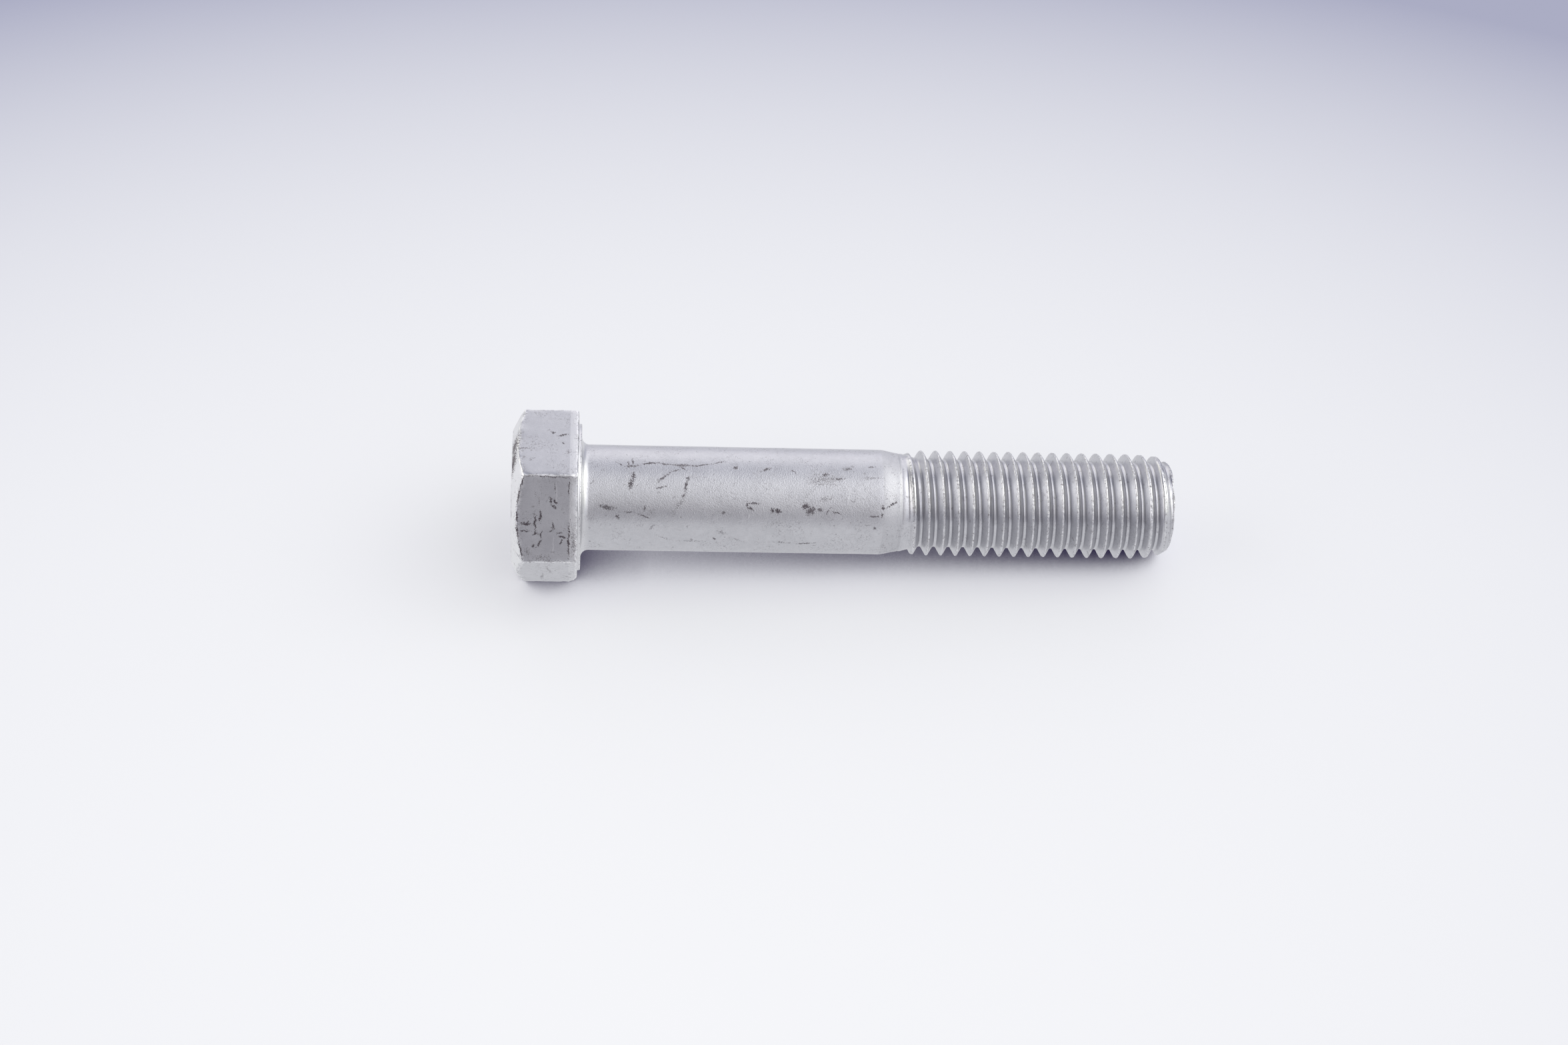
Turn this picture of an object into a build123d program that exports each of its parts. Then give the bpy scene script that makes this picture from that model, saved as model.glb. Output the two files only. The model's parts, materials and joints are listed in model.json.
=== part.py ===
from build123d import *
import os
from math import atan2, ceil, cos, floor, radians, sin, tan

# A long hexagon head bolt with a part thread, lying on a table.
#
# It is one cold-formed piece of steel: a chamfered hexagon head with a washer face, a plain shank,
# a neck at the size that the thread is rolled on, and a right-hand thread that grows out of the
# neck and runs to a chamfered point. It is modelled upright, with the middle of its bearing face
# at the origin and its point up, and is laid down at the end. Sizes are in millimetres and degrees.

# Head
across_flats = 26.1
head_height = 11.5  # from the bearing face to the top of the head
head_corner_round = 0.3  # the soft corners of the forged hexagon
head_chamfer_angle = 28.0
head_top_diameter = 22.4  # the flat circle that the chamfer leaves
trim_band = 1.4  # the narrow band on each flat, next to the washer face
trim_taper = 4.0  # how far that band leans in
washer_face_diameter = 24.6
washer_face_height = 0.5
under_head_fillet = 1.3

# Shank, neck and point, measured along the axis from the bearing face
bolt_length = 99.5
shank_diameter = 17.7
shank_length = 50.3
neck_diameter = 16.3  # the blank that the thread is rolled on
neck_cone_length = 3.6
neck_land = 0.3  # the straight stretch before the first groove
point_taper_length = 5.5  # where the crests start to fall away towards the end
point_chamfer_length = 1.9
point_chamfer_diameter = 17.1
point_diameter = 14.8

# Thread
thread_diameter = 17.8  # over the crests
thread_pitch = 2.5
thread_angle = 60.0
depth_per_pitch = 0.6
crest_per_pitch = 0.17
runout_per_pitch = 1.1  # the turns over which the thread grows to its full depth
first_ridge_lead = 0.65  # the turns of the first ridge that lie hidden in the neck

# Modelling allowances
ridge_foot = 0.2  # how far each ridge reaches into the core
trim_margin = 0.5  # how far the trimming rings reach past the thread

crest_radius = thread_diameter / 2
root_radius = crest_radius - depth_per_pitch * thread_pitch
shank_radius = shank_diameter / 2
neck_radius = neck_diameter / 2
neck_start = shank_length + neck_cone_length
thread_start = neck_start + neck_land
runout_length = runout_per_pitch * thread_pitch
taper_start = bolt_length - point_taper_length
chamfer_start = bolt_length - point_chamfer_length
ridge_start = thread_start - first_ridge_lead * thread_pitch
turns = ceil((bolt_length - ridge_start) / thread_pitch) + 1


def ridge_half_width(radius):
    """Half the width of the thread's ridge along the axis, at a radius."""
    half_crest = crest_per_pitch * thread_pitch / 2
    return half_crest + (crest_radius - radius) * tan(radians(thread_angle / 2))


# One turn of the thread's ridge, from its foot inside the core to its flat crest
foot_radius = root_radius - ridge_foot
with BuildPart() as ridge_turn:
    with BuildLine(Plane.XY.offset(ridge_start)):
        Helix(pitch=thread_pitch, height=thread_pitch, radius=foot_radius)
    with BuildSketch(Plane.XZ):
        with BuildLine():
            Polyline(
                (crest_radius, ridge_start - ridge_half_width(crest_radius)),
                (foot_radius, ridge_start - ridge_half_width(foot_radius)),
                (foot_radius, ridge_start + ridge_half_width(foot_radius)),
                (crest_radius, ridge_start + ridge_half_width(crest_radius)),
                close=True,
            )
        make_face()
    sweep(is_frenet=True)

# The ring that trims the ridges where they grow out of the neck
ring_radius = crest_radius + trim_margin
ring_low = ridge_start - thread_pitch
fade_foot = neck_radius - ridge_foot
fade_rise = runout_length / (crest_radius - fade_foot)
with BuildPart() as runout_ring:
    with BuildSketch(Plane.XZ):
        with BuildLine():
            Polyline(
                (fade_foot, ring_low),
                (fade_foot, thread_start),
                (ring_radius, thread_start + (ring_radius - fade_foot) * fade_rise),
                (ring_radius, ring_low),
                close=True,
            )
        make_face()
    revolve(axis=Axis.Z)

# The ring that gives the thread its tapered and chamfered point, and cuts it off at the end
cap_radius = foot_radius - trim_margin
taper_run = (chamfer_start - taper_start) / (crest_radius - point_chamfer_diameter / 2)
ring_high = ridge_start + (turns + 1) * thread_pitch
with BuildPart() as point_ring:
    with BuildSketch(Plane.XZ):
        with BuildLine():
            Polyline(
                (ring_radius, taper_start - trim_margin * taper_run),
                (point_chamfer_diameter / 2, chamfer_start),
                (point_diameter / 2, bolt_length),
                (cap_radius, bolt_length),
                (cap_radius, ring_high),
                (ring_radius, ring_high),
                close=True,
            )
        make_face()
    revolve(axis=Axis.Z)

# The whole thread: the turns stacked one pitch apart, then trimmed at both ends
with BuildPart() as thread:
    with Locations(*[(0, 0, turn * thread_pitch) for turn in range(turns)]):
        add(ridge_turn.part, clean=False)
    add(runout_ring.part, mode=Mode.SUBTRACT, clean=False)
    add(point_ring.part, mode=Mode.SUBTRACT, clean=False)

# The bolt standing on its head: the turned form, the head, and the thread on its core
hexagon_base = -washer_face_height
band_top = hexagon_base - trim_band
corner_radius = across_flats / 2 / cos(radians(30))
chamfer_radius = corner_radius + trim_margin
chamfer_depth = (chamfer_radius - head_top_diameter / 2) * tan(radians(head_chamfer_angle))
end_radius = min(root_radius, point_diameter / 2)
with BuildPart() as standing:
    with BuildSketch(Plane.XZ):
        with BuildLine():
            Polyline(
                (0, hexagon_base),
                (washer_face_diameter / 2, hexagon_base),
                (washer_face_diameter / 2, 0),
                (shank_radius + under_head_fillet, 0),
            )
            Bezier(
                (shank_radius + under_head_fillet, 0),
                (shank_radius, 0),
                (shank_radius, under_head_fillet),
            )
            Polyline(
                (shank_radius, under_head_fillet),
                (shank_radius, shank_length),
                (neck_radius, neck_start),
                (neck_radius, thread_start),
                (root_radius, thread_start + runout_length),
                (root_radius, chamfer_start),
                (end_radius, bolt_length),
                (0, bolt_length),
                (0, hexagon_base),
            )
        make_face()
    revolve(axis=Axis.Z)
    with BuildSketch(Plane.XY.offset(-head_height)) as hexagon:
        RegularPolygon(corner_radius, 6, rotation=30)
        fillet(hexagon.vertices(), head_corner_round)
    extrude(amount=head_height + band_top)
    with BuildSketch(Plane.XY.offset(band_top)) as band:
        RegularPolygon(corner_radius, 6, rotation=30)
        fillet(band.vertices(), head_corner_round)
    extrude(amount=trim_band, taper=trim_taper)
    with BuildSketch(Plane.XZ):
        with BuildLine():
            Polyline(
                (head_top_diameter / 2, -head_height),
                (chamfer_radius, -head_height + chamfer_depth),
                (chamfer_radius, -head_height),
                close=True,
            )
        make_face()
    revolve(axis=Axis.Z, mode=Mode.SUBTRACT)
    add(thread.part, clean=False)

# Laid down, the bolt leans on the edge of the band on its lower flat and on the last full crest
# that points down. The ridge starts on the upper side, so it points down half a turn later.
lowest_crest = ridge_start + thread_pitch / 2
turns_to_contact = floor((taper_start - lowest_crest) / thread_pitch)
half_crest = ridge_half_width(crest_radius)
crest_contact = lowest_crest + turns_to_contact * thread_pitch + half_crest
lean = atan2(across_flats / 2 - crest_radius, crest_contact - band_top)
axis_height = across_flats / 2 * cos(lean) + band_top * sin(lean)
back_x = -head_height * cos(lean) - head_top_diameter / 2 * sin(lean)
front_x = bolt_length * cos(lean) + end_radius * sin(lean)
resting = Plane(
    origin=(-(back_x + front_x) / 2, 0, axis_height),
    x_dir=(sin(lean), 0, cos(lean)),
    z_dir=(cos(lean), 0, -sin(lean)),
)
with BuildPart(resting) as bolt:
    add(standing.part, clean=False)
bolt.part.label = "bolt"

os.makedirs("parts", exist_ok=True)
export_step(bolt.part, "parts/bolt.step")
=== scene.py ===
import json
from math import atan2, cos, degrees, pi, radians, sin, tan

import bpy
import numpy as np
from mathutils import Matrix, Vector


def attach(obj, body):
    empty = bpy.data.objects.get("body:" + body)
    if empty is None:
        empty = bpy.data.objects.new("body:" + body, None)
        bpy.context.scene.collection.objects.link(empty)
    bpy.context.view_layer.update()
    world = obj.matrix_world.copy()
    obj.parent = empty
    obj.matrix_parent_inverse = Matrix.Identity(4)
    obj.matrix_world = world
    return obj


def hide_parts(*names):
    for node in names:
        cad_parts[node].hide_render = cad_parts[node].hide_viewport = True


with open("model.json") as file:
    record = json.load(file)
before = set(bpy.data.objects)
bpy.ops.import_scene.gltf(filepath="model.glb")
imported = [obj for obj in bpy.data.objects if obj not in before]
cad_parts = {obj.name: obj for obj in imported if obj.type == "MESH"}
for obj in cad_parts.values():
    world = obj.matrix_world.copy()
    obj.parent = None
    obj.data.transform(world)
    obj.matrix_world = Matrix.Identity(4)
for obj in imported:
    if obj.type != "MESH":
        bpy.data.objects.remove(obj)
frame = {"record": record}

# A zinc flake coated hexagon head bolt, lying on a pale table.
#
# The bolt is built upright in its own frame, in millimetres: its axis is Z, the middle of its
# bearing face is at the origin, its point is up, and X is the side that faces up once it lies down.
# Angles run round the axis from X. It is laid down at the end, on the axis that the frame gives.

MM = 0.001

# Head
ACROSS_FLATS = 26.1
HEAD_HEIGHT = 11.5
HEAD_TOP_RADIUS = 11.2
HEAD_CHAMFER = radians(28)
WASHER_FACE_RADIUS = 12.3
WASHER_FACE_HEIGHT = 0.5
TRIM_BAND = 1.4
TRIM_LEAN = radians(4)
TRIM_EDGE_ROUND = 0.28
CORNER_ROUND = 0.3
CRUSHED_CORNER = radians(150)
CRUSHED_SPAN = radians(9)
CRUSHED_DEPTH = 0.45
CRUSHED_ROUND = 1.5

# Shank and neck
UNDER_HEAD_FILLET = 1.3
SHANK_RADIUS = 8.85
SHANK_LENGTH = 50.3
NECK_RADIUS = 8.15
LIP_RADIUS = 8.32
LIP_HEIGHT = 53.2
THREAD_START = 54.2

# Thread and point
PITCH = 2.5
CREST_RADIUS = 8.9
ROOT_RADIUS = 7.4
CREST_HALF = 0.12
CREST_SOFTNESS = 0.14
ROOT_SOFTNESS = 0.3
FLANK_SLOPE = 1 / tan(radians(30))
FIRST_CREST = 52.5
RUNOUT = 2.75
RUNOUT_GROWTH = 0.95
RUNOUT_SOFTNESS = 0.15
BOLT_LENGTH = 99.5
TAPER_START = 94.0
POINT_CHAMFER_START = 97.6
POINT_CHAMFER_RADIUS = 8.55
POINT_RADIUS = 7.4
TAPER_SOFTNESS = 0.15
POINT_CHAMFER_SOFTNESS = 0.25

# Edges that wear. The crests' mark fades out at a depth below them. The point's rim is marked
# from one distance short of its end, and in full from a nearer one. The hexagon's upright edges
# are marked within some degrees of a corner, a little below the head's top, outside a radius.
CREST_MARK_DEPTH = 0.2
RIM_START, RIM_FULL = 0.6, 0.1
UPRIGHT_EDGE_DEGREES = 1.5
UPRIGHT_EDGE_START = 0.8
UPRIGHT_EDGE_RADIUS = 12.6

# Mesh fineness
SECTOR_COLUMNS = 30
COLUMNS = 6 * SECTOR_COLUMNS
THREAD_ROWS = 18
ROW_CROWDING = 0.65
CAP_RINGS = 8
WELD_DISTANCE = 0.000002

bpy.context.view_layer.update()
scene = bpy.context.scene


# Node trees as Python expressions

class Value:
    """A socket of a node tree. Maths on it adds Math nodes to the tree."""

    def __init__(self, graph, socket):
        self.graph = graph
        self.socket = socket

    def math(self, operation, *others):
        """A Math node on this value and others."""
        return self.graph.node("ShaderNodeMath", {"operation": operation}, (self, *others))

    def __add__(self, other):
        return self.math("ADD", other)

    __radd__ = __add__

    def __mul__(self, other):
        return self.math("MULTIPLY", other)

    __rmul__ = __mul__

    def __sub__(self, other):
        return self.math("SUBTRACT", other)

    def __rsub__(self, other):
        return self.graph.node("ShaderNodeMath", {"operation": "SUBTRACT"}, (other, self))

    def __truediv__(self, other):
        return self.math("DIVIDE", other)

    def __neg__(self):
        return self.math("MULTIPLY", -1.0)

    def __pow__(self, other):
        return self.math("POWER", other)

    def least(self, other):
        """The smaller of two values."""
        return self.math("MINIMUM", other)

    def most(self, other):
        """The larger of two values."""
        return self.math("MAXIMUM", other)

    def between(self, low, high):
        """0 below low, 1 above high, with a smooth rise between; falls if low is above high."""
        return self.graph.node(
            "ShaderNodeMapRange",
            {"interpolation_type": "SMOOTHSTEP"},
            {0: self, 1: low, 2: high, 3: 0.0, 4: 1.0},
        )


class Graph:
    """A node tree that is filled through one method."""

    def __init__(self, tree):
        self.tree = tree
        self.tree.nodes.clear()

    def node(self, kind, settings=None, values=(), output=0):
        """Adds a node: first its settings, then the values or links of its sockets."""
        made = self.tree.nodes.new(kind)
        for name, setting in (settings or {}).items():
            setattr(made, name, setting)
        pairs = values.items() if isinstance(values, dict) else enumerate(values)
        for key, value in pairs:
            if isinstance(value, Value):
                self.tree.links.new(value.socket, made.inputs[key])
            else:
                made.inputs[key].default_value = value
        return None if output is None else Value(self, made.outputs[output])

    def sibling(self, value, output):
        """Another output of the node that a value comes from."""
        return Value(self, value.socket.node.outputs[output])

    def join_xyz(self, x, y, z):
        """A vector from three numbers."""
        return self.node("ShaderNodeCombineXYZ", values=(x, y, z))

    def split_xyz(self, vector):
        """The three numbers of a vector."""
        x = self.node("ShaderNodeSeparateXYZ", values=(vector,))
        return x, self.sibling(x, 1), self.sibling(x, 2)

    def noise(self, place, scale, detail=2.0, roughness=0.5):
        """Noise from 0 to 1 at a place in millimetres; scale is in waves for each millimetre."""
        values = {"Vector": place, "Scale": scale, "Detail": detail, "Roughness": roughness}
        return self.node("ShaderNodeTexNoise", {"noise_dimensions": "3D"}, values)

    def mix(self, factor, first, second):
        """Mixes two colours."""
        return self.node(
            "ShaderNodeMix", {"data_type": "RGBA"}, {0: factor, 6: first, 7: second}, output=2
        )

    def shade(self, kind, values, output_kind):
        """Adds the last shader and links it to the tree's output."""
        shader = self.node(kind, values=values)
        self.node(output_kind, values=(shader,), output=None)


# The head and shank: one grid of columns round the axis and rows along the outline

def hexagon_radius(angle):
    """How far the hexagon's outline is from the axis, with rounded corners."""
    flat = ACROSS_FLATS / 2
    corner = flat / cos(pi / 6)
    turn = (angle + pi / 6) % (pi / 3) - pi / 6
    round_centre = corner - CORNER_ROUND / cos(pi / 6)
    off_corner = pi / 6 - abs(turn)
    half_arc = atan2(CORNER_ROUND * sin(pi / 6), round_centre + CORNER_ROUND * cos(pi / 6))
    if off_corner > half_arc:
        return flat / cos(turn)
    across = round_centre * sin(off_corner)
    return round_centre * cos(off_corner) + (CORNER_ROUND**2 - across**2) ** 0.5


def head_angles():
    """The columns' angles round the head, closer together at the hexagon's corners."""
    near = [0.0, 0.3, 0.6, 1.0, 1.8, 3.2]  # degrees from a corner
    plain = SECTOR_COLUMNS - 2 * len(near) + 1
    first, last = near[-1], 60 - near[-1]
    middle = [first + (last - first) * (i + 1) / (plain + 1) for i in range(plain)]
    sector = near + middle + [60 - a for a in reversed(near[1:])]
    return np.radians([30 + 60 * s + a for s in range(6) for a in sector])


def rounded(corners):
    """A line of (radius, height, edge) through corners, each with an arc.

    A corner is (radius, height, radius of its arc, steps of its arc, its edge mark, parts of the
    stretch that leads to it). The parts crowd towards the stretch's ends.
    """
    line = [np.array([*corners[0][:2], 0.0])]
    for i, (_, _, arc, steps, edge, parts) in enumerate(corners[1:], 1):
        here = np.array(corners[i][:2])
        arc_points = [here]
        if arc:
            back = np.array(corners[i - 1][:2]) - here
            ahead = np.array(corners[i + 1][:2]) - here
            reach = 0.45 * min(np.linalg.norm(back), np.linalg.norm(ahead))
            back /= np.linalg.norm(back)
            ahead /= np.linalg.norm(ahead)
            half = 0.5 * np.arccos(np.clip(back @ ahead, -1, 1))
            cut = min(arc / tan(half), reach)
            bisector = (back + ahead) / np.linalg.norm(back + ahead)
            centre = here + bisector * cut / cos(half)
            radius = cut * tan(half)
            outs = [back * cut * (1 - s) + ahead * cut * s + here - centre for s in spread(steps)]
            arc_points = [centre + out / np.linalg.norm(out) * radius for out in outs]
        start = line[-1]
        end = np.array([*arc_points[0], edge])
        for share in spread(parts)[1:-1]:
            ease = 0.5 - 0.5 * cos(pi * share)
            point = start * (1 - ease) + end * ease
            point[2] *= abs(2 * ease - 1) ** 6
            line.append(point)
        line += [np.array([*point, edge]) for point in arc_points]
    return line


def spread(parts):
    """The shares 0 to 1 in so many even parts."""
    return [p / parts for p in range(parts + 1)]


def head_outline(angle):
    """The head's outline in one column, from the middle of its top to the washer face.

    One corner of the hexagon is crushed at its lower end: pushed in, and rounder than the others.
    """
    side = hexagon_radius(angle)
    crushed = max(0.0, 1 - abs(angle % (2 * pi) - CRUSHED_CORNER) / CRUSHED_SPAN)
    trimmed = side - TRIM_BAND * tan(TRIM_LEAN) - CRUSHED_DEPTH * crushed
    trim_round = TRIM_EDGE_ROUND + CRUSHED_ROUND * crushed
    chamfer_foot = -HEAD_HEIGHT + (side - HEAD_TOP_RADIUS) * tan(HEAD_CHAMFER)
    base = -WASHER_FACE_HEIGHT
    return rounded([
        (0.0, -HEAD_HEIGHT, 0, 0, 0, 0),
        (HEAD_TOP_RADIUS, -HEAD_HEIGHT, 0.5, 3, 0.6, 10),
        (side, chamfer_foot, 0.25, 4, 1.0, 5),
        (side, base - TRIM_BAND, 0.3, 2, 0.1, 14),
        (trimmed, base, trim_round, 5, 1.0, 3),
        (WASHER_FACE_RADIUS, base, 0.05, 1, 0.0, 3),
        (WASHER_FACE_RADIUS, 0.0, 0.15, 3, 0.5, 2),
        (WASHER_FACE_RADIUS - 0.6, 0.0, 0, 0, 0, 1),
    ])


def shank_outline():
    """The outline from the bearing face to the neck, where the thread takes over."""
    fillet = [
        (SHANK_RADIUS + UNDER_HEAD_FILLET * (1 - sin(a)), UNDER_HEAD_FILLET * (1 - cos(a)))
        for a in np.radians(np.linspace(0, 90, 10))
    ]
    shank = [(SHANK_RADIUS, h) for h in np.linspace(UNDER_HEAD_FILLET, SHANK_LENGTH, 46)[1:]]
    neck = []
    for share in np.linspace(0, 1, 10)[1:]:
        ease = 0.5 * share + 0.5 * share * share * (3 - 2 * share)
        radius = SHANK_RADIUS - (SHANK_RADIUS - LIP_RADIUS) * ease
        neck.append((radius, SHANK_LENGTH + (LIP_HEIGHT - SHANK_LENGTH) * share))
    lip = [(LIP_RADIUS - 0.09, LIP_HEIGHT + 0.07), (LIP_RADIUS - 0.06, LIP_HEIGHT + 0.35)]
    foot = [(LIP_RADIUS - 0.07, LIP_HEIGHT + 0.7), (NECK_RADIUS, THREAD_START)]
    return fillet + shank + neck + lip + foot


def head_and_shank():
    """The mesh from the middle of the head's top to the start of the thread, open at its end.

    Its columns crowd at the hexagon's corners on the head and are even on the shank.
    """
    points, edges = [], []
    shank = shank_outline()
    for column, angle in enumerate(head_angles()):
        off_corner = abs(degrees(angle) % 60 - 30)
        upright_edge = max(0.0, 1 - off_corner / UPRIGHT_EDGE_DEGREES)
        for radius, height, edge in head_outline(angle):
            on_flat_side = UPRIGHT_EDGE_START - HEAD_HEIGHT < height < -WASHER_FACE_HEIGHT
            on_side = on_flat_side and radius > UPRIGHT_EDGE_RADIUS
            points.append((radius * cos(angle), radius * sin(angle), height))
            edges.append(max(edge, upright_edge if on_side else 0.0))
        even = radians(30 + column * 360 / COLUMNS)
        for radius, height in shank:
            points.append((radius * cos(even), radius * sin(even), height))
            edges.append(0.0)
    rows = len(points) // COLUMNS
    faces = []
    for column in range(COLUMNS):
        first, second = column * rows, (column + 1) % COLUMNS * rows
        for r in range(rows - 1):
            faces.append((first + r, second + r, second + r + 1, first + r + 1))
    mesh = bpy.data.meshes.new("bolt_body")
    mesh.from_pydata((np.array(points) * MM).tolist(), [], faces)
    mesh.attributes.new("edge", "FLOAT", "POINT").data.foreach_set("value", edges)
    return mesh


# The thread: Geometry Nodes wind a strip one pitch wide round the axis and close the point

THREAD_SIZES = {
    "Pitch": PITCH,
    "First Crest": FIRST_CREST,
    "Crest Radius": CREST_RADIUS,
    "Crest Half Width": CREST_HALF,
    "Root Radius": ROOT_RADIUS,
    "Neck Radius": NECK_RADIUS,
    "Start": THREAD_START,
    "Run-out": RUNOUT,
    "Taper Start": TAPER_START,
    "Chamfer Start": POINT_CHAMFER_START,
    "Chamfer Radius": POINT_CHAMFER_RADIUS,
    "Point Radius": POINT_RADIUS,
    "Length": BOLT_LENGTH,
    "Wear Depth": 0.2,
}
HEAD_FINISH_END = 0.3


def thread_surface(graph, size, height, angle):
    """The thread's radius at a height and an angle, and how far that place is on a crest."""
    full_depth = size["Crest Radius"] - size["Root Radius"]
    rise = height - size["First Crest"] - angle * size["Pitch"] / (2 * pi)
    half_pitch = size["Pitch"] / 2
    across = rise.math("WRAP", half_pitch, -half_pitch).math("ABSOLUTE")
    depth = (across - size["Crest Half Width"]) * FLANK_SLOPE
    crest = depth.between(CREST_MARK_DEPTH, 0.0)
    depth = depth.math("SMOOTH_MAX", 0.0, CREST_SOFTNESS)
    depth = depth.math("SMOOTH_MIN", full_depth, ROOT_SOFTNESS)
    radius = size["Crest Radius"] - depth
    grown = (height - size["Start"]) / size["Run-out"]
    growing = size["Neck Radius"] + grown * RUNOUT_GROWTH
    radius = radius.math("SMOOTH_MIN", growing, RUNOUT_SOFTNESS)
    taper_length = size["Chamfer Start"] - size["Taper Start"]
    taper = (size["Crest Radius"] - size["Chamfer Radius"]) / taper_length
    chamfer_length = size["Length"] - size["Chamfer Start"]
    chamfer = (size["Chamfer Radius"] - size["Point Radius"]) / chamfer_length
    tapered = size["Crest Radius"] - (height - size["Taper Start"]) * taper
    chamfered = size["Chamfer Radius"] - (height - size["Chamfer Start"]) * chamfer
    radius = radius.math("SMOOTH_MIN", tapered, TAPER_SOFTNESS)
    radius = radius.math("SMOOTH_MIN", chamfered, POINT_CHAMFER_SOFTNESS)
    root = size["Neck Radius"] - grown.least(1.0) * (size["Neck Radius"] - size["Root Radius"])
    return radius.most(root), crest


# Noise of the worn shape: waves for each millimetre, then the noise where a dent starts and where
# it is full, then its share of the depth
COARSE_DENTS = (0.55, 0.42, 0.72, 0.55)
FINE_DENTS = (1.7, 0.45, 0.75, 0.6)
SWELL_WAVES = 0.16
SWELL_HEIGHT = 0.06
THREAD_SPARED = 0.5
POINT_EXTRA = 0.6


def add_wear(graph, geometry, size):
    """Dents the marked edges inwards and lets the whole surface undulate a little."""
    place = graph.node("GeometryNodeInputPosition")
    _, _, height = graph.split_xyz(place)
    place = graph.node("ShaderNodeVectorMath", {"operation": "SCALE"}, {0: place, 3: 1 / MM})
    normal = graph.node("GeometryNodeInputNormal")
    edge = graph.node("GeometryNodeInputNamedAttribute", {"data_type": "FLOAT"}, {0: "edge"})
    coarse, fine = (
        graph.noise(place, waves).between(start, full) * share
        for waves, start, full, share in (COARSE_DENTS, FINE_DENTS)
    )
    dents = coarse + fine
    swell = (graph.noise(place, SWELL_WAVES, detail=1.0) - 0.5) * SWELL_HEIGHT
    on_thread = height.between(size["Start"] * MM, (size["Start"] + 1.0) * MM)
    on_point = height.between(size["Taper Start"] * MM, size["Length"] * MM)
    softness = 1 - on_thread * THREAD_SPARED + on_point * POINT_EXTRA
    shift = swell - edge * dents * softness * size["Wear Depth"]
    offset = graph.node("ShaderNodeVectorMath", {"operation": "SCALE"}, {0: normal, 3: shift * MM})
    return graph.node("GeometryNodeSetPosition", values={0: geometry, 3: offset})


def wound(graph, size, mesh, height, angle, share, marked):
    """A grid laid on the thread's surface, with its crests and the point's rim marked as edges."""
    radius, crest = thread_surface(graph, size, height, angle)
    radius = radius * share
    x = radius * angle.math("COSINE") * MM
    y = radius * angle.math("SINE") * MM
    rim = height.between(size["Length"] - RIM_START, size["Length"] - RIM_FULL)
    mesh = graph.node(
        "GeometryNodeStoreNamedAttribute",
        {"data_type": "FLOAT", "domain": "POINT"},
        {0: mesh, 2: "edge", 3: crest.most(rim) * marked},
    )
    place = graph.join_xyz(x, y, height * MM)
    return graph.node("GeometryNodeSetPosition", values={0: mesh, 2: place})


def thread_strip(graph, size):
    """A strip one pitch wide, wound round the axis from the neck to the end of the point.

    Its rows crowd at the crests and roots, and its ends are cut off level by the height's limits.
    """
    along, across, _ = graph.split_xyz(graph.node("GeometryNodeInputPosition"))
    low = size["First Crest"] - size["Pitch"] / 2
    turns = ((size["Length"] - low) / size["Pitch"]).math("CEIL")
    steps = turns * size["Columns"] + 1.0
    strip = graph.node("GeometryNodeMeshGrid", values=(1.0, 1.0, steps, size["Rows"] + 1.0))
    turn = (along + 0.5) * turns
    crowded = across - (across * (4 * pi)).math("SINE") * (ROW_CROWDING / (4 * pi))
    height = low + size["Pitch"] * (turn + crowded + 0.5)
    height = height.most(size["Start"]).least(size["Length"])
    return wound(graph, size, strip, height, turn * (2 * pi), 1.0, 1.0)


def point_cap(graph, size):
    """A disc of rings that closes the end of the point."""
    along, across, _ = graph.split_xyz(graph.node("GeometryNodeInputPosition"))
    grid_sizes = (1.0, 1.0, size["Columns"] + 1.0, CAP_RINGS + 1)
    cap = graph.node("GeometryNodeMeshGrid", values=grid_sizes)
    share = 0.5 - across
    angle = (along + 0.5) * (2 * pi)
    return wound(graph, size, cap, size["Length"] + 0.0, angle, share, share.between(0.9, 1.0))


def add_finishes(graph, size, geometry):
    """Gives the thread, the shank and the head their materials, by height."""
    done = graph.node("GeometryNodeSetMaterial", values={0: geometry, 2: size["Thread Finish"]})
    _, _, height = graph.split_xyz(graph.node("GeometryNodeInputPosition"))
    for limit, finish in ((size["Start"], "Shank Finish"), (HEAD_FINISH_END, "Head Finish")):
        below = (limit * MM - height).math("SIGN")
        done = graph.node("GeometryNodeSetMaterial", values={0: done, 1: below, 2: size[finish]})
    return done


def add_sockets(tree):
    """Names the tree's inputs and its output."""
    kinds = {"Geometry": "Geometry", "Columns": "Int", "Rows": "Int"}
    kinds.update({name: "Float" for name in THREAD_SIZES})
    kinds.update({f"{part} Finish": "Material" for part in ("Head", "Shank", "Thread")})
    for name, kind in kinds.items():
        tree.interface.new_socket(name, in_out="INPUT", socket_type=f"NodeSocket{kind}")
    tree.interface.new_socket("Geometry", in_out="OUTPUT", socket_type="NodeSocketGeometry")


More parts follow.
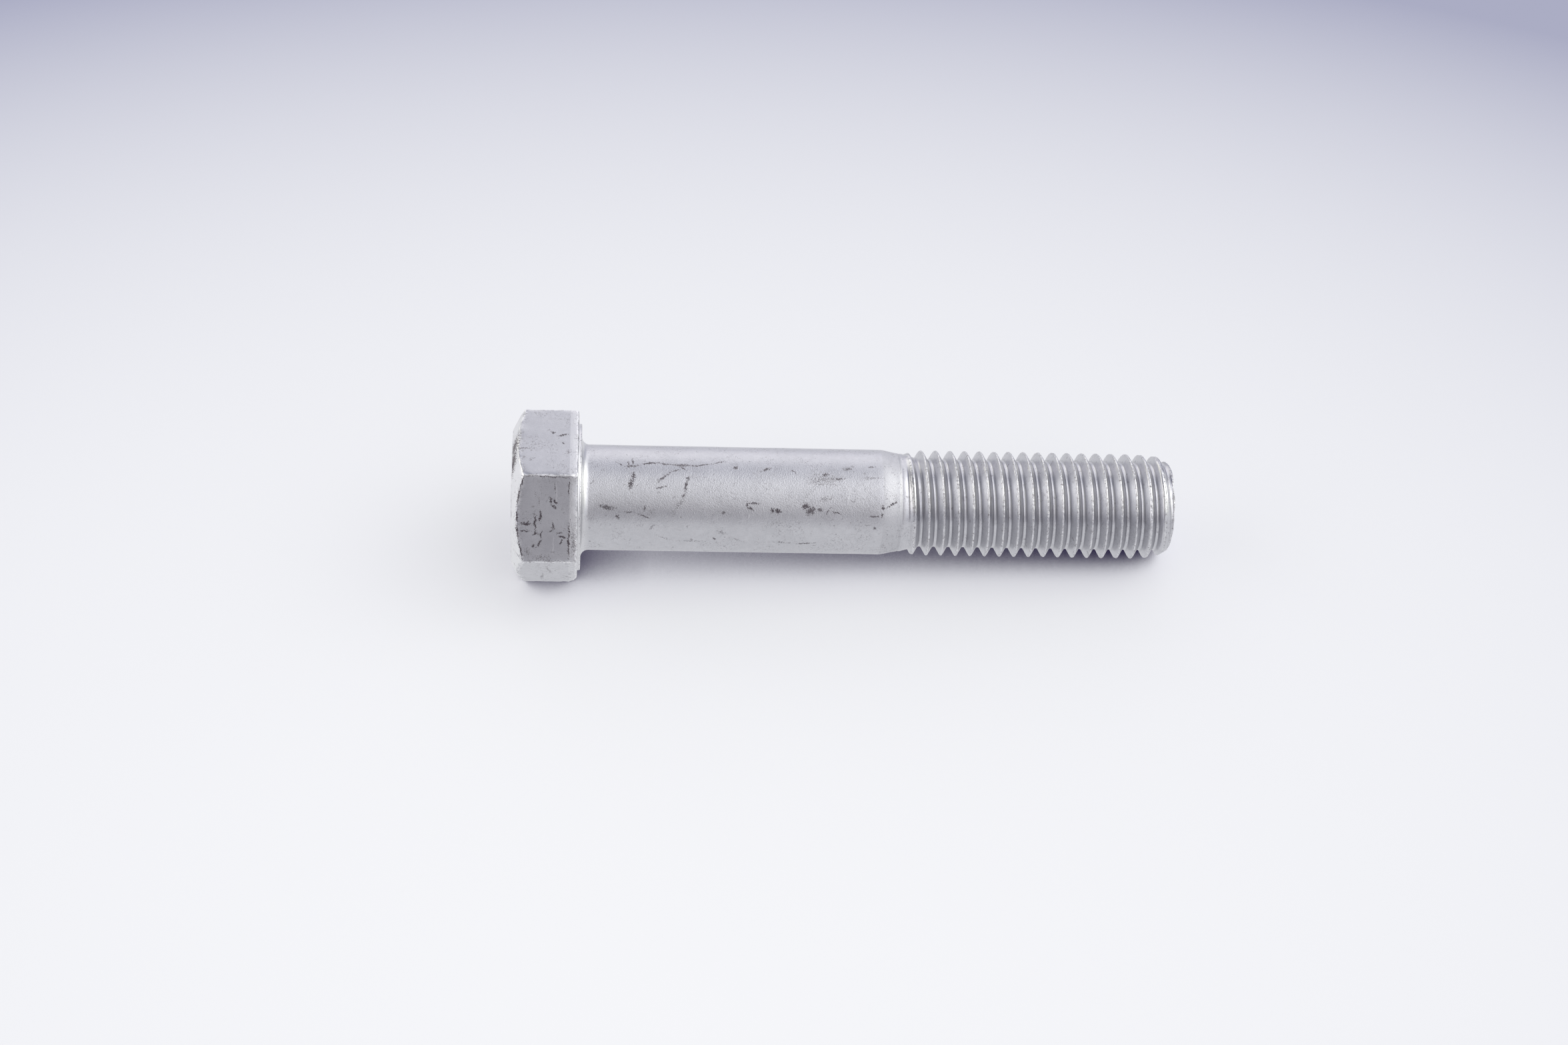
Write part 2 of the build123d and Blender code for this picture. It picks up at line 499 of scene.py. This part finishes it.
def thread_tree():
    """The tree that winds the thread onto the open end of the shank."""
    tree = bpy.data.node_groups.new("rolled_thread", "GeometryNodeTree")
    graph = Graph(tree)
    add_sockets(tree)
    given = tree.nodes.new("NodeGroupInput")
    size = {socket.name: Value(graph, socket) for socket in given.outputs if socket.name}
    strip = thread_strip(graph, size)
    cap = point_cap(graph, size)
    joined = tree.nodes.new("GeometryNodeJoinGeometry")
    for part in (cap, strip, size["Geometry"]):
        tree.links.new(part.socket, joined.inputs[0])
    body = Value(graph, joined.outputs[0])
    body = graph.node("GeometryNodeMergeByDistance", values={0: body, 2: WELD_DISTANCE})
    body = add_wear(graph, body, size)
    body = graph.node("GeometryNodeSetShadeSmooth", values={0: body})
    body = graph.node("GeometryNodeRealizeInstances", values={0: body})
    body = add_finishes(graph, size, body)
    result = tree.nodes.new("NodeGroupOutput")
    tree.links.new(body.socket, result.inputs[0])
    return tree


def set_inputs(modifier, values):
    """Sets a Geometry Nodes modifier's inputs by their names."""
    for item in modifier.node_group.interface.items_tree:
        if item.in_out == "INPUT" and item.name in values:
            modifier[item.identifier] = values[item.name]


def lay_down():
    """The matrix from the bolt's own frame to where the frame says the bolt lies."""
    mounts = {mount["name"]: mount for mount in frame["record"]["mounts"]}
    axis = Vector(mounts["shank"]["axis"]).normalized()
    on_axis = Vector(mounts["shank"]["pos_m"])
    face = Vector(mounts["bearing_face"]["pos_m"])
    centre = on_axis + axis * axis.dot(face - on_axis)
    up = (face - centre).normalized()
    side = axis.cross(up)
    turn = Matrix((up, side, axis)).transposed().to_4x4()
    return Matrix.Translation(centre) @ turn


def make_body(finishes):
    """The whole bolt as one closed mesh, laid down in the shared frame."""
    rough = bpy.data.objects.new("rough_body", head_and_shank())
    scene.collection.objects.link(rough)
    modifier = rough.modifiers.new("thread", "NODES")
    modifier.node_group = thread_tree()
    counts = {"Columns": COLUMNS, "Rows": THREAD_ROWS}
    set_inputs(modifier, {**THREAD_SIZES, **counts, **finishes})
    evaluated = rough.evaluated_get(bpy.context.evaluated_depsgraph_get())
    mesh = bpy.data.meshes.new_from_object(evaluated)
    bpy.data.objects.remove(rough)
    mesh.transform(lay_down())
    mesh.name = "bolt_body"
    body = bpy.data.objects.new("bolt_body", mesh)
    scene.collection.objects.link(body)
    return body


# The finish: a zinc flake coating, grainy, scuffed and nicked

# Scuffs on the shank: height, angle in degrees, half length, half width, turn in degrees.
# A turn of 0 lies along the bolt and 90 lies round it.
SHANK_SCUFFS = [
    (6.2, 4, 1.0, 0.06, 37), (8.4, 6.5, 1.5, 0.16, -10), (11.2, 2.8, 1.7, 0.14, -8),
    (14, 3.2, 1.8, 0.13, 6), (16.6, 4.3, 2.2, 0.17, 1), (19.9, 3.8, 1.9, 0.13, -7),
    (22.5, 0.3, 1.4, 0.08, -14), (7.7, 3.5, 0.65, 0.14, 90), (8.45, 1, 0.8, 0.15, 90),
    (8.6, 19.5, 0.95, 0.25, 90), (8.2, 29, 1.1, 0.28, 108), (15.6, 12, 0.7, 0.15, -15),
    (13.6, 20.5, 1.8, 0.15, -42), (16.9, 9, 0.9, 0.14, 30), (13.1, 31.6, 0.9, 0.12, -12),
    (17.6, 21, 0.4, 0.32, 90), (17.3, 29, 1.4, 0.2, 96), (16.9, 40.5, 0.4, 0.25, 90),
    (4.4, 54.2, 1.4, 0.3, 6), (8, 59.2, 1.2, 0.1, 3), (10.2, 62.8, 1.3, 0.11, 20),
    (10.5, 55, 0.7, 0.12, 100), (6.1, 64.3, 0.45, 0.28, 58), (23.5, 57.8, 0.3, 0.2, 10),
    (25.6, 6.9, 0.5, 0.24, 5), (22.2, 91.5, 0.25, 0.2, 0), (27.5, 49.5, 0.5, 0.15, 90),
    (28, 53.2, 0.6, 0.22, 35), (28.6, 47.6, 1.1, 0.13, 3), (31.7, 54.5, 0.4, 0.34, 0),
    (32.6, 55.5, 0.6, 0.34, 20), (37.2, 49.8, 0.8, 0.42, 10), (38, 54, 0.8, 0.65, 60),
    (39.6, 53, 0.6, 0.26, 20), (41, 54.3, 1.0, 0.09, -55), (42.4, 56.3, 0.9, 0.1, 20),
    (40.5, 13.5, 0.75, 0.3, -5), (42.7, 18.6, 1.2, 0.18, -3), (44.2, 5.6, 0.8, 0.25, -5),
    (48.2, 2.5, 0.6, 0.12, 2), (30.6, 8.8, 0.9, 0.24, -28), (35.2, 11, 0.6, 0.08, 53),
    (50.05, 49.5, 0.5, 0.16, 90), (49.9, 58, 0.4, 0.15, 90), (48.6, 59.2, 1.1, 0.13, 4),
    (51.5, 46.3, 1.1, 0.17, -32), (48.9, 73.3, 0.26, 0.2, 40), (37.5, 97, 1.5, 0.14, -6),
]
FAINT_SHANK_SCUFFS = [
    (16.4, 48, 1.0, 0.3, -40), (11.6, 60, 0.6, 0.45, 0), (15.3, 59, 0.5, 0.4, 0),
    (14, 91.5, 1.6, 0.13, 22), (18.4, 96.3, 2.2, 0.16, 0), (23.4, 82, 1.2, 0.24, 12),
    (26, 92, 1.2, 0.16, 25), (40.6, 41, 1.7, 0.35, -10), (40.5, 20, 3.6, 1.0, 0),
    (48.2, 17, 1.8, 0.18, 0), (33.5, 96, 1.8, 0.2, 5), (12.8, -31, 1.7, 0.12, -8),
    (30, -70, 3.0, 0.2, 12), (24, 165, 3.0, 0.3, -15),
]
PALE_SHANK_LINES = [
    (44.4, 42, 2.4, 0.07, 90), (27.9, 61, 0.45, 0.13, -80), (7.6, 20.8, 0.3, 0.1, 60),
]

# Scuffs on the head's flats: height, place across the flat, half length, half width, turn
FRONT_FLAT_SCUFFS = [
    (-8.9, 0.85, 1.0, 0.25, 0), (-7.4, 0.7, 1.7, 0.17, 88), (-6.6, -0.3, 1.1, 0.15, 92),
    (-9.0, 2.1, 0.9, 0.15, -5), (-7.4, 2.6, 0.6, 0.17, -27), (-7.3, 2.3, 0.6, 0.17, 73),
    (-6.7, 4.2, 0.85, 0.16, -62), (-6.4, 2.7, 0.8, 0.08, 100), (-7.7, 4.6, 0.28, 0.24, 0),
    (-4.95, -3.2, 0.8, 0.18, 86), (-4.5, -2.2, 0.7, 0.16, 32), (-4.2, -3.0, 0.7, 0.18, 52),
    (-4.55, 1.2, 0.85, 0.14, 90), (-4.85, 2.05, 0.4, 0.14, -35), (-3.5, 2.3, 0.45, 0.15, -9),
    (-3.0, 3.1, 0.8, 0.18, 8), (-3.15, 3.9, 0.65, 0.12, -65), (-4.25, -5.6, 1.2, 0.09, 86),
    (-1.95, -5.2, 1.9, 0.07, 90), (-1.9, 3.9, 3.2, 0.15, 90),
    (-9.6, -6.2, 1.1, 0.14, 109), (-10.22, -3.4, 2.1, 0.12, 98), (-10.46, -0.3, 1.2, 0.17, 91),
    (-10.36, 2.3, 1.5, 0.14, 84), (-9.8, 5.3, 2.0, 0.14, 77), (-5.2, -7.18, 4.3, 0.07, 1),
]
FAINT_FRONT_FLAT_SCUFFS = [
    (-1.1, 4.0, 2.7, 0.4, 90), (-7.4, -4.2, 0.5, 0.14, 85), (-6.8, -3.0, 1.0, 0.14, 90),
    (-6.5, 6.7, 1.6, 0.4, 0), (-5, 7.2, 4.0, 0.1, 0), (-8.6, 5.8, 0.9, 0.4, 60),
]
PALE_FLAT_LINES = [
    (-4.4, 4.6, 2.3, 0.07, 90), (-4, -4.2, 2.8, 0.07, 90), (-1.62, 0, 7.4, 0.07, 90),
]
TOP_FLAT_SCUFFS = [
    (-11.0, 0.3, 2.2, 0.5, 96), (-11.2, 3.2, 2.4, 0.42, 95), (-3.2, -1.65, 1.0, 0.16, -20),
    (-3, 0.2, 0.25, 0.2, 0), (-4.65, -2.2, 0.3, 0.2, 30),
]
FAINT_TOP_FLAT_SCUFFS = [
    (-2.2, 2.3, 0.7, 0.3, -50), (-5.4, -2.7, 0.3, 0.2, 0), (-9.6, 1.5, 0.3, 1.6, 90),
]
FAINT_LOW_FLAT_SCUFFS = [
    (-5.2, -2, 3.0, 0.15, 80), (-6.3, 3, 3.2, 0.15, -86), (-2.2, 3.2, 1.6, 0.15, 60),
]
FLAT_SPACING = 16.0
SCUFF_BREADTH = 1.45

# Noise in waves for each millimetre
WOBBLE_WAVES = 0.9
DASH_WAVES = 2.4
SPECK_WAVES = 0.9
PATCH_WAVES = 0.28
DOT_WAVES = 5.2
GRAIN_WAVES = 5.0
SCALE_WAVES = 1.1
MOTTLE_WAVES = 0.22
WORN_WAVES = 2.2
CHIP_WAVES = 3.0

# Stretches of the bolt, by height: each pair is where the mask is 0 and where it is 1, first at the
# lower end and then at the upper one
GRAINY_SHANK = (0.8, 1.8), (53.3, 53.1)
NECK = (50.15, 50.25), (53.6, 53.4)
WASHER_AND_FILLET = (-0.55, -0.4), (1.7, -0.2)

# The thread's grooves, darkened as painted shade, by radius: the same pairs, first at the outer
# side and then at the inner one
GROOVE_RADII = (7.8, 7.58), (7.42, 7.47)

# Greys of the coating and what lies on it, some of them painted light and shade
COATING_DARK = (0.56, 0.56, 0.585, 1)
COATING_PALE = (0.63, 0.63, 0.655, 1)
# The washer face, fillet and trimmed band grey: paler, partly as a painted sheen
WASHER_SHEEN_GREY = (0.76, 0.76, 0.77, 1)
# The chamfer grey is painted light, raised to stand in for lamp light from the left
CHAMFER_PAINTED_LIGHT_GREY = (0.86, 0.86, 0.865, 1)
# The neck grey is painted shade that dims the neck's highlight
NECK_SHADE_GREY = (0.48, 0.48, 0.5, 1)
# The groove grey is painted shade in the thread's recesses
GROOVE_SHADE_GREY = (0.3, 0.3, 0.33, 1)
BARE_STEEL = (0.88, 0.88, 0.89, 1)
DIRT = (0.12, 0.103, 0.118, 1)

# Depth of the grain's relief in metres, and of the chips on worn edges as a multiple of it
GRAIN_DEPTH = 0.00004
CHIP_RELIEF = 2.0


def on_flat(flat, scuffs):
    """Scuffs of one flat, at its place among the unrolled flats."""
    return [(height, across + FLAT_SPACING * flat, *rest) for height, across, *rest in scuffs]


def on_shank(scuffs):
    """Scuffs of the shank, with their angles as lengths round it."""
    return [(height, radians(angle) * SHANK_RADIUS, *rest) for height, angle, *rest in scuffs]


# Dark scuffs, faint scuffs and pale lines of the head and of the shank
HEAD_SCUFFS = (
    on_flat(1, FRONT_FLAT_SCUFFS) + on_flat(0, TOP_FLAT_SCUFFS),
    on_flat(1, FAINT_FRONT_FLAT_SCUFFS)
    + on_flat(0, FAINT_TOP_FLAT_SCUFFS)
    + on_flat(2, FAINT_LOW_FLAT_SCUFFS),
    on_flat(1, PALE_FLAT_LINES),
)
BARREL_SCUFFS = on_shank(SHANK_SCUFFS), on_shank(FAINT_SHANK_SCUFFS), on_shank(PALE_SHANK_LINES)


class Finish:
    """The material's tree, with the places that its patterns are laid out in."""

    def __init__(self, tree):
        self.graph = Graph(tree)
        graph = self.graph
        to_bolt = lay_down().inverted()
        values = {
            0: graph.node("ShaderNodeTexCoord", output=3),
            1: to_bolt.translation / MM,
            2: to_bolt.to_euler(),
            3: (1 / MM, 1 / MM, 1 / MM),
        }
        self.place = graph.node("ShaderNodeMapping", {"vector_type": "POINT"}, values)
        x, y, self.height = graph.split_xyz(self.place)
        self.angle = y.math("ARCTAN2", x)
        self.radius = (x * x + y * y).math("SQRT")
        self.edge = graph.node("ShaderNodeAttribute", {"attribute_name": "edge"}, output=2)
        self.on_head = self.height.between(-0.2, -0.6)
        self.on_thread = self.height.between(53.6, 54.4)
        self.neck = self.stretch(NECK)
        self.grain = graph.noise(self.place, GRAIN_WAVES, roughness=0.55)
        self.mottle = graph.noise(self.place, MOTTLE_WAVES, detail=3.0)

    def stretch(self, heights):
        """1 along a stretch of the bolt and 0 elsewhere."""
        rise, fall = heights
        return self.height.between(*rise) * self.height.between(*fall)

    def unrolled(self):
        """Height and the way round, on the shank as a cylinder and on the head flat by flat."""
        graph = self.graph
        flat = (self.angle * (3 / pi)).math("ROUND")
        across = self.radius * (self.angle - flat * (pi / 3)).math("SINE") + flat * FLAT_SPACING
        round_shank = self.angle * SHANK_RADIUS
        way = round_shank + (across - round_shank) * self.on_head
        wobble = graph.noise(self.place, WOBBLE_WAVES, detail=3.0, roughness=0.65)
        shake, stir, _ = graph.split_xyz(graph.sibling(wobble, 1))
        return graph.join_xyz(self.height + (shake - 0.5) * 0.8, way + (stir - 0.5) * 0.8, 0.0)

    def nearest(self, unrolled, scuffs):
        """0 in the middle of the nearest scuff and 1 at its rim."""
        nearest = None
        for height, way, length, width, turn in scuffs:
            values = {
                0: unrolled,
                1: (height, way, 0),
                2: (0, 0, radians(turn)),
                3: (length, width * SCUFF_BREADTH, 1),
            }
            inside = self.graph.node("ShaderNodeMapping", {"vector_type": "TEXTURE"}, values)
            away = self.graph.node(
                "ShaderNodeVectorMath", {"operation": "LENGTH"}, (inside,), output=1
            )
            nearest = away if nearest is None else nearest.least(away)
        return nearest

    def fine_dirt(self):
        """Dark dashes along the worn edges, a scatter of specks and hair scratches in patches."""
        graph, place = self.graph, self.place
        dashes = graph.noise(place, DASH_WAVES, detail=3.0, roughness=0.65).between(0.55, 0.66)
        soiled = dashes * self.edge.between(0.1, 0.5) * (0.7 - self.on_head * 0.35)
        specks = graph.noise(place, SPECK_WAVES, detail=3.0, roughness=0.6)
        scratch = (specks - 0.5).math("ABSOLUTE").between(0.011, 0.004)
        patch = graph.noise(place, PATCH_WAVES).between(0.46, 0.58)
        return soiled.most(specks.between(0.64, 0.72) * 0.45).most(scratch * patch * 0.5)

    def scuffed(self, scuffs):
        """Scuffs broken up into dots, and the pale lines. None reach the head's end face."""
        unrolled = self.unrolled()
        dark, faint, pale = (self.nearest(unrolled, group) for group in scuffs)
        dots = self.graph.noise(self.place, DOT_WAVES)
        marks = (dots - 0.2 - dark * 0.3).between(0.0, 0.18)
        marks = marks.most((dots - 0.36 - faint * 0.18).between(0.0, 0.15) * 0.6)
        return marks * self.height.between(-11.42, -11.32), pale.between(1.0, 0.5)

    def coating_colour_and_painted_light(self):
        """The coating's grey, with painted light and shade on some forms of the bolt.

        It is paler on the washer face, the fillet and the trimmed band, partly as a painted sheen,
        and on the chamfer, as painted light. It is darker on the neck, as painted shade that
        dims its highlight, and in the thread's grooves, as painted shade.
        """
        graph = self.graph
        scale = graph.noise(self.place, SCALE_WAVES)
        tone = (self.grain * 0.4 + self.mottle * 0.3 + scale * 0.3).between(0.36, 0.64)
        colour = graph.mix(tone, COATING_DARK, COATING_PALE)
        # The washer face, the fillet and the trimmed band are paler, partly as a painted sheen
        band = self.height.between(-2.0, -1.85) * self.on_head
        pale_and_sheen = (self.stretch(WASHER_AND_FILLET) * 0.8).most(band * 0.36)
        colour = graph.mix(pale_and_sheen, colour, WASHER_SHEEN_GREY)
        # The chamfer's pale grey is painted light, standing in for lamp light from the left
        chamfer_foot = (self.radius - HEAD_TOP_RADIUS) * tan(HEAD_CHAMFER) - HEAD_HEIGHT
        chamfer = (chamfer_foot + 0.12 - self.height).between(0.0, 0.1)
        colour = graph.mix(chamfer, colour, CHAMFER_PAINTED_LIGHT_GREY)
        # The neck's darker grey is painted shade that dims its highlight
        colour = graph.mix(self.neck * 0.12, colour, NECK_SHADE_GREY)
        # The thread's grooves are darkened: painted shade in the recesses
        outer, inner = GROOVE_RADII
        groove_shade = self.on_thread * self.radius.between(*outer) * self.radius.between(*inner)
        return graph.mix(groove_shade * 0.4, colour, GROOVE_SHADE_GREY)

    def relief(self):
        """The grain, strongest on the shank, and the chips on worn edges."""
        grain = self.grain * (self.stretch(GRAINY_SHANK) * 0.7 + 0.3)
        chips = self.edge.between(0.3, 0.9) * self.graph.noise(self.place, CHIP_WAVES)
        height = grain + chips * (1 - self.on_head) * CHIP_RELIEF
        values = {"Strength": 1.0, "Distance": GRAIN_DEPTH, "Height": height}
        return self.graph.node("ShaderNodeBump", values=values)


def zinc_flake(name, scuffs=()):
    """The coating's material, with the scuffs of one part of the bolt."""
    material = bpy.data.materials.new(name)
    material.use_nodes = True
    finish = Finish(material.node_tree)
    graph = finish.graph
    soiled, pale = finish.fine_dirt(), 0.0
    if scuffs:
        marks, pale = finish.scuffed(scuffs)
        soiled = soiled.most(marks)
    worn = graph.noise(finish.place, WORN_WAVES).between(0.38, 0.58)
    polish = finish.edge.between(0.3, 0.9) * worn * (1 - finish.on_thread * 0.5)
    polish = polish.most(pale * 0.6)
    colour = graph.mix(polish * 0.8, finish.coating_colour_and_painted_light(), BARE_STEEL)
    strength = (0.38 + finish.mottle * 0.9 + finish.on_head * 0.15).least(1.0)
    colour = graph.mix(soiled * strength, colour, DIRT)
    rough = 0.32 + finish.mottle * 0.08 + finish.neck * 0.14 - finish.on_thread * 0.06
    rough = rough - polish * 0.04 + soiled * 0.3
    values = {
        "Base Color": colour,
        "Metallic": 1.0,
        "Roughness": rough,
        "Normal": finish.relief(),
    }
    graph.shade("ShaderNodeBsdfPrincipled", values, "ShaderNodeOutputMaterial")
    return material


finishes = {
    "Head Finish": zinc_flake("zinc_flake_head", HEAD_SCUFFS),
    "Shank Finish": zinc_flake("zinc_flake_shank", BARREL_SCUFFS),
    "Thread Finish": zinc_flake("zinc_flake_thread"),
}
body = make_body(finishes)
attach(body, "root")
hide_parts("bolt")


# The table, the light and the camera

CAMERA_PLACE = (-0.02845, -0.32472, 0.35384)
CAMERA_TURN = radians(3.318)
CAMERA_DIP = radians(46.918)
CAMERA_ROLL = radians(1.677)
CAMERA_LENS = 64.19
FILM_WIDTH = 36
NEAR_LIMIT = 0.01

# The studio's soft lights: direction round from the right, height above the table and half
# width in degrees, then the colour at the middle
SOFT_LIGHTS = [
    (30, 50, 50, (0.86, 0.86, 0.80)),
    (-30, 50, 50, (1.07, 1.06, 1.02)),
    (-150, 50, 50, (0.41, 0.40, 0.25)),
    (90, 14, 45, (1.12, 1.10, 1.05)),
    (0, 14, 45, (0.52, 0.53, 0.35)),
    (12, 28, 35, (1.05, 1.05, 1.00)),
    (-45, 14, 45, (0.53, 0.53, 0.50)),
    (-90, 14, 45, (0.29, 0.27, 0.19)),
    (180, 14, 45, (1.75, 1.71, 1.63)),
    (135, 14, 45, (0.82, 0.81, 0.60)),
]
ROOM_LIGHT = (0.07, 0.08, 0.20)


def make_world():
    """A dark room with soft lights round the table."""
    world = bpy.data.worlds.new("studio")
    world.use_nodes = True
    scene.world = world
    graph = Graph(world.node_tree)
    direction = graph.node("ShaderNodeTexCoord")
    total = graph.join_xyz(*ROOM_LIGHT)
    for turn, rise, width, colour in SOFT_LIGHTS:
        across, up = cos(radians(rise)), sin(radians(rise))
        towards = (across * cos(radians(turn)), across * sin(radians(turn)), up)
        facing = graph.node(
            "ShaderNodeVectorMath", {"operation": "DOT_PRODUCT"}, (direction, towards), output=1
        )
        glow = facing.between(cos(radians(width)), 1.0)
        values = {0: colour, 1: graph.join_xyz(glow, glow, glow), 2: total}
        total = graph.node("ShaderNodeVectorMath", {"operation": "MULTIPLY_ADD"}, values)
    graph.shade("ShaderNodeBackground", (total, 1.0), "ShaderNodeOutputWorld")


# Tones of the table: its palest, the far tone of its painted light falloff, the tint of the painted
# contact shadow and the tint of the fainter painted shade
NEAR_TABLE = (0.872, 0.878, 0.902, 1)
FAR_TABLE_SHADE = (0.385, 0.395, 0.52, 1)
SHADOW_TINT = (0.03, 0.02, 0.08, 1)
SOFT_SHADE_TINT = (0.50, 0.45, 0.75, 1)

TABLE_REACH = 2.0  # metres from the middle to each side

# How the table darkens as a painted falloff of light, in millimetres: it is palest from the near
# edge towards the camera and at the pale side, to the left, and it falls off behind and beside that
NEAR_EDGE = 92.0
PALE_SIDE = 28
SIDE_WEIGHT = 0.46
TABLE_SPAN = 243.0
EVEN_FALL = 0.13
STEEP_FALL = 0.87
SIDE_FALL = 0.0000035
FULL_FALL = 1.5

# The soft shadow: how much of the table's tone is a glow, seen directly and mirrored in the bolt,
# and then the painted contact shadow and the fainter painted shade close to the bolt
SHADOW_FILL = 0.47
MIRRORED_FILL = 0.9
SHADOW_REACH = 0.012
SHADOW_SAMPLES = 12
CONTACT_SKY = (0.1, 0.5)
SOFT_SHADE_SKY = (0.3, 1.0)
SOFT_SHADE_SHARE = 0.1


def table_tone_with_painted_light(graph, seen):
    """The table's tone, palest in front of the bolt as a painted pool of light; seen directly,
    darker close under it as a painted shadow.
    """
    side, far, _ = graph.split_xyz(graph.node("ShaderNodeTexCoord", output=3))
    side, far = side / MM + PALE_SIDE, (far / MM + NEAR_EDGE).most(0.0)
    away = (far * far + side * side * SIDE_WEIGHT).math("SQRT") / TABLE_SPAN
    fall = away * EVEN_FALL + away ** 4 * STEEP_FALL + side * side * SIDE_FALL
    colour = graph.mix(fall / FULL_FALL, NEAR_TABLE, FAR_TABLE_SHADE)
    values = {"Distance": SHADOW_REACH}
    settings = {"samples": SHADOW_SAMPLES}
    open_sky = graph.node("ShaderNodeAmbientOcclusion", settings, values, output=1)
    # A faint tinted painted shade near the bolt, seen directly
    soft_shade = seen * (1 - open_sky.between(*SOFT_SHADE_SKY)) * SOFT_SHADE_SHARE
    colour = graph.mix(soft_shade, colour, SOFT_SHADE_TINT)
    # A painted contact shadow close under the bolt, seen directly
    return graph.mix(1 - seen * (1 - open_sky.between(*CONTACT_SKY)), SHADOW_TINT, colour)


def make_floor():
    """A wide pale table top whose painted light darkens a little into the distance."""
    mesh = bpy.data.meshes.new("table_top")
    rim = [(TABLE_REACH * x, TABLE_REACH * y, 0) for x, y in ((-1, -1), (1, -1), (1, 1), (-1, 1))]
    mesh.from_pydata(rim, [], [(0, 1, 2, 3)])
    floor = bpy.data.objects.new("table_top", mesh)
    scene.collection.objects.link(floor)
    material = bpy.data.materials.new("table_top")
    material.use_nodes = True
    graph = Graph(material.node_tree)
    seen = graph.node("ShaderNodeLightPath")
    colour = table_tone_with_painted_light(graph, seen)
    lit = graph.node("ShaderNodeBsdfDiffuse", values=(colour,))
    glow = graph.node("ShaderNodeEmission", values=(colour, 1.0))
    share = (seen * SHADOW_FILL).most(graph.sibling(seen, 3) * MIRRORED_FILL)
    graph.shade("ShaderNodeMixShader", (share, lit, glow), "ShaderNodeOutputMaterial")
    mesh.materials.append(material)


def make_camera():
    """The camera, looking down at the bolt from the front."""
    data = bpy.data.cameras.new("camera")
    data.lens = CAMERA_LENS
    data.sensor_width = FILM_WIDTH
    data.clip_start = NEAR_LIMIT
    forward = Vector((
        sin(CAMERA_TURN) * cos(CAMERA_DIP), cos(CAMERA_TURN) * cos(CAMERA_DIP), -sin(CAMERA_DIP)
    ))
    level = Vector((cos(CAMERA_TURN), -sin(CAMERA_TURN), 0))
    upright = level.cross(forward)
    right = level * cos(CAMERA_ROLL) + upright * sin(CAMERA_ROLL)
    up = upright * cos(CAMERA_ROLL) - level * sin(CAMERA_ROLL)
    camera = bpy.data.objects.new("camera", data)
    scene.collection.objects.link(camera)
    turn = Matrix((right, up, -forward)).transposed().to_4x4()
    camera.matrix_world = Matrix.Translation(CAMERA_PLACE) @ turn
    scene.camera = camera


make_floor()
make_world()
make_camera()
scene.view_settings.view_transform = "Standard"
